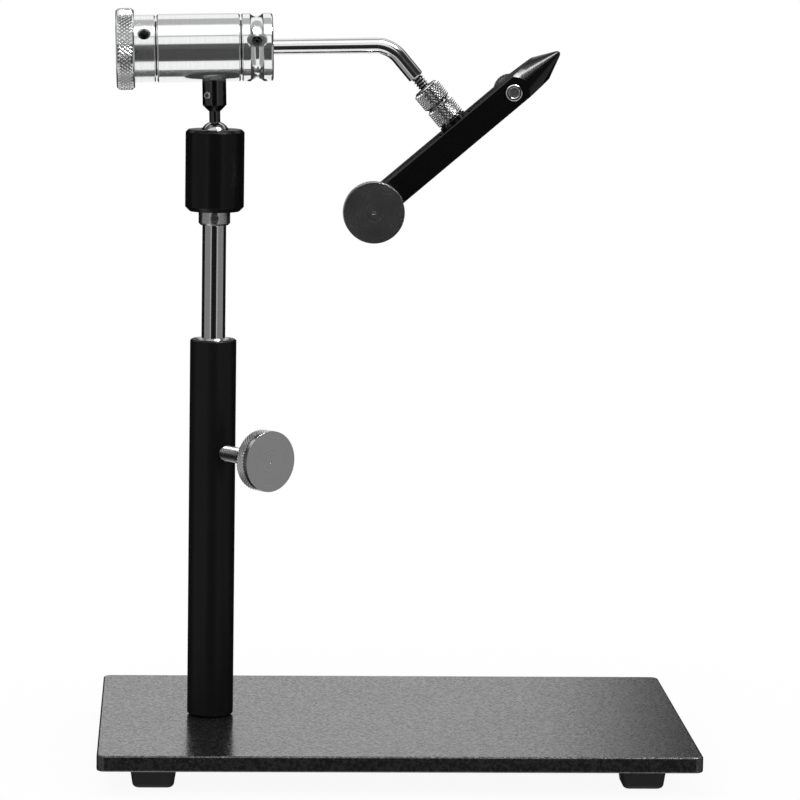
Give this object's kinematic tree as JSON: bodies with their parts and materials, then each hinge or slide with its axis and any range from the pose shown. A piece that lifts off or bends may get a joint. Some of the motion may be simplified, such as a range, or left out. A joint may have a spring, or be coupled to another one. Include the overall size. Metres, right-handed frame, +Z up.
{
  "type": "fly tying vise",
  "caption": "Pedestal fly tying vise: flat base on rubber feet, sliding post, ball joint, rotary head, bent arm and cone-nosed jaws with screw clamps.",
  "frame": {"origin": "on the floor under the middle of the base plate, at the feet's lower faces", "axes": "+X along the base towards the jaws, +Y away from the front, +Z up"},
  "size_m": [0.235, 0.1588, 0.2994],
  "materials": {
    "coated_plate": "textured black powder coat",
    "satin_black": "satin black",
    "black_jaws": "satin black oxide on steel",
    "rubber": "matte rubber",
    "aluminium": "polished, turned",
    "stainless": "polished stainless steel",
    "turned_steel": "turned steel",
    "dark_steel": "dark turned steel",
    "black_screw": "black oxide screw",
    "brass": "turned brass",
    "bronze": "oiled bronze"
  },
  "bodies": {
    "base": {"base_plate": "coated_plate", "rubber_feet": "rubber", "foot_screws": "dark_steel", "post_tube": "satin_black", "post_bolt": "dark_steel"},
    "post_pad": {"post_screw_pad": "brass"},
    "post_clamp": {"post_screw": "turned_steel", "post_knob": "turned_steel"},
    "rod": {"post_rod": "stainless", "ball_base": "stainless", "base_set_screw": "black_screw"},
    "ball_nut": {"ball_nut": "satin_black"},
    "ball_seat": {"ball_seat": "brass"},
    "head": {"ball_stud": "stainless", "head_stem": "dark_steel", "stem_set_screw": "black_screw", "head_housing": "aluminium", "front_bush": "bronze", "rear_bush": "bronze"},
    "rotor": {"rotary_arm": "stainless", "rotary_wheel": "aluminium", "wheel_set_screw": "black_screw", "front_collar": "aluminium", "collar_set_screws": "black_screw"},
    "lock_nut": {"lock_nut": "stainless"},
    "adjusting_nut": {"adjusting_nut": "stainless"},
    "jaws": {"rear_jaw": "black_jaws", "pivot_screw": "stainless", "jaw_spring": "turned_steel"},
    "pivot_knob": {"pivot_knob": "turned_steel"},
    "front_jaw": {"front_jaw": "black_jaws"},
    "jaw_pad": {"jaw_screw_pad": "brass"},
    "jaw_clamp": {"jaw_screw": "dark_steel", "jaw_knob": "dark_steel"}
  },
  "joints": [
    {"name": "post_height", "type": "slide", "parent": "base", "child": "rod", "axis": [0, 0, 1], "range_m": [-0.045, 0.033]},
    {"name": "post_clamp_travel", "type": "slide", "parent": "base", "child": "post_pad", "axis": [0.6088, -0.7934, 0], "range_m": [0, 0.00254]},
    {"name": "post_clamp_turn", "type": "hinge", "parent": "post_pad", "child": "post_clamp", "pos_m": [-0.05501, -0.0238, 0.12325], "axis": [0.6088, -0.7934, 0], "range_deg": [0, 722]},
    {"name": "ball_nut_turn", "type": "hinge", "parent": "rod", "child": "ball_nut", "pos_m": [-0.07328, 0, 0.21945], "axis": [0, 0, 1], "range_deg": [0, 360]},
    {"name": "head_swivel", "type": "hinge", "parent": "rod", "child": "ball_seat", "pos_m": [-0.07328, 0, 0.24925], "axis": [0, 0, 1], "continuous": true},
    {"name": "head_tilt", "type": "hinge", "parent": "ball_seat", "child": "head", "pos_m": [-0.07328, 0, 0.24925], "axis": [0, -1, 0], "range_deg": [-39, 36]},
    {"name": "head_rotation", "type": "hinge", "parent": "head", "child": "rotor", "pos_m": [-0.07419, 0, 0.28414], "axis": [0.9997, 0, 0.0262], "continuous": true},
    {"name": "jaw_height", "type": "slide", "parent": "rotor", "child": "jaws", "axis": [-0.6514, 0, 0.7587], "range_m": [-0.003, 0.003]},
    {"name": "lock_nut_turn", "type": "hinge", "parent": "jaws", "child": "lock_nut", "pos_m": [0.01252, 0, 0.26624], "axis": [-0.6514, 0, 0.7587], "range_deg": [0, 360]},
    {"name": "adjusting_nut_turn", "type": "hinge", "parent": "jaws", "child": "adjusting_nut", "pos_m": [0.01774, 0, 0.26017], "axis": [-0.6514, 0, 0.7587], "range_deg": [0, 360]},
    {"name": "pivot_knob_turn", "type": "hinge", "parent": "jaws", "child": "pivot_knob", "pos_m": [0.04455, 0, 0.26823], "axis": [0, 1, 0], "range_deg": [0, 360]},
    {"name": "jaw_open", "type": "hinge", "parent": "jaws", "child": "front_jaw", "pos_m": [0.04455, 0, 0.26823], "axis": [0.6514, 0, -0.7587], "range_deg": [0, 1.81]},
    {"name": "jaw_clamp_travel", "type": "slide", "parent": "front_jaw", "child": "jaw_pad", "axis": [0, -1, 0], "range_m": [0, 0.0024]},
    {"name": "jaw_clamp_turn", "type": "hinge", "parent": "jaw_pad", "child": "jaw_clamp", "pos_m": [-0.0106, -0.015, 0.22088], "axis": [0, -1, 0], "range_deg": [0, 1082]}
  ],
  "couplings": [
    {"joint": "post_clamp_turn", "follows": "post_clamp_travel", "rad_per_m": 4947.4},
    {"joint": "jaw_clamp_turn", "follows": "jaw_clamp_travel", "rad_per_m": 7854},
    {"joint": "jaw_open", "follows": "jaw_clamp_travel", "rad_per_m": 13.09}
  ]
}
